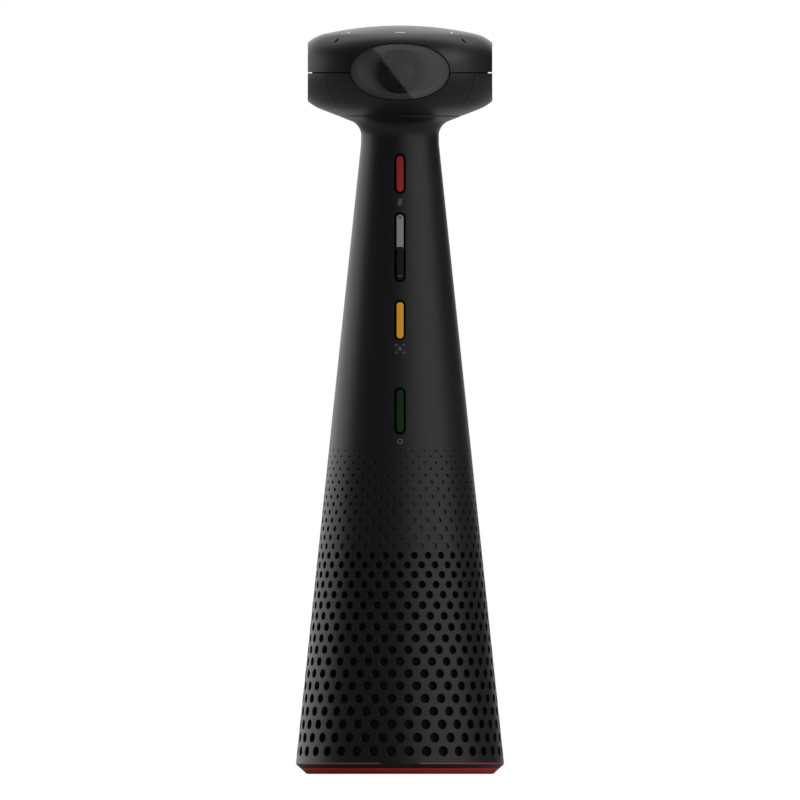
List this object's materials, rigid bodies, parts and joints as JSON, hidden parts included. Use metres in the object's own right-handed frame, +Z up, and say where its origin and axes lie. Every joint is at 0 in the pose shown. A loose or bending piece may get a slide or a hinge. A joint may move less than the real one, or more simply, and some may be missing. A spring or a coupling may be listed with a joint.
{
  "type": "conference camera",
  "caption": "Tabletop conference camera: a round head with camera windows facing four ways on a tapered speaker tower with a perforated grille, buttons up the front and USB-C ports.",
  "frame": {"origin": "middle of the foot, on the table", "axes": "+Z up along the tower, -Y towards the side with the buttons, +X to the right as seen from there"},
  "size_m": [0.0832, 0.0832, 0.2994],
  "materials": {
    "foot_rubber": "matt soft foot ring",
    "body_plastic": "fine matt texture",
    "screw_steel": "plated",
    "thread_brass": "turned",
    "ballast_steel": "rolled plate",
    "accent_red": "satin moulded line",
    "circuit_board": "solder mask",
    "port_steel": "pressed shell",
    "inner_plastic": "moulded",
    "basket_steel": "black paint",
    "magnet_iron": "plated",
    "cone_fabric": "pressed paper",
    "grille_fabric": "fine woven mesh",
    "cable_jacket": "cable bundle",
    "heat_aluminium": "extruded",
    "switch_metal": "pressed cap",
    "bezel_black": "satin black",
    "mute_red": "satin",
    "volume_grey": "satin",
    "view_amber": "satin",
    "power_green": "satin",
    "frame_aluminium": "die cast",
    "window_glass": "smoked and polished",
    "mask_black": "polished black",
    "camera_plastic": "matt black",
    "lens_glass": "coated",
    "microphone_metal": "pressed can",
    "light_white": "milky light guide"
  },
  "bodies": {
    "housing": {"foot_ring": "foot_rubber", "bottom_cover": "body_plastic", "base_plate": "body_plastic", "base_screws": "screw_steel", "tripod_insert": "thread_brass", "ballast_weight": "ballast_steel", "accent_ring": "accent_red", "io_board": "circuit_board", "usb_data_port": "port_steel", "usb_power_port": "port_steel", "port_panel": "body_plastic", "sound_deflector": "inner_plastic", "speaker_baffle": "inner_plastic", "speaker_basket": "basket_steel", "speaker_magnet": "magnet_iron", "speaker_cone": "cone_fabric", "speaker_enclosure": "inner_plastic", "tower_shell": "body_plastic", "acoustic_mesh": "grille_fabric", "spine_tube": "inner_plastic", "spine_screws": "screw_steel", "head_cable": "cable_jacket", "main_board": "circuit_board", "heat_sink": "heat_aluminium", "button_bracket": "inner_plastic", "button_board": "circuit_board", "button_switches": "switch_metal", "mute_bezel": "bezel_black", "volume_bezel": "bezel_black", "view_bezel": "bezel_black", "power_bezel": "bezel_black", "rocker_pin": "screw_steel", "neck_collar": "body_plastic", "head_screws": "screw_steel", "head_lower_shell": "body_plastic", "head_upper_shell": "body_plastic", "camera_frame": "frame_aluminium", "window_front": "window_glass", "window_right": "window_glass", "window_back": "window_glass", "window_left": "window_glass", "lens_mask_front": "mask_black", "lens_mask_right": "mask_black", "lens_mask_back": "mask_black", "lens_mask_left": "mask_black", "camera_front": "camera_plastic", "camera_right": "camera_plastic", "camera_back": "camera_plastic", "camera_left": "camera_plastic", "lens_front": "lens_glass", "lens_right": "lens_glass", "lens_back": "lens_glass", "lens_left": "lens_glass", "microphone_board": "circuit_board", "microphones": "microphone_metal", "status_lights": "light_white"},
    "mute_button": {"mute_button": "mute_red"},
    "volume_rocker": {"volume_rocker": "volume_grey"},
    "view_button": {"view_button": "view_amber"},
    "power_button": {"power_button": "power_green"}
  },
  "joints": [
    {"name": "mute_button_press", "type": "slide", "parent": "housing", "child": "mute_button", "axis": [0, 0.9945, -0.1045], "range_m": [0, 0.0006], "stiffness_N_per_m": 400},
    {"name": "volume_rock", "type": "hinge", "parent": "housing", "child": "volume_rocker", "pos_m": [0, -0.01735, 0.21043], "axis": [1, 0, 0], "range_deg": [-2.6, 2.6], "stiffness_Nm_per_rad": 0.05},
    {"name": "view_button_press", "type": "slide", "parent": "housing", "child": "view_button", "axis": [0, 0.9945, -0.1045], "range_m": [0, 0.0006], "stiffness_N_per_m": 400},
    {"name": "power_button_press", "type": "slide", "parent": "housing", "child": "power_button", "axis": [0, 0.9945, -0.1045], "range_m": [0, 0.0006], "stiffness_N_per_m": 400}
  ]
}
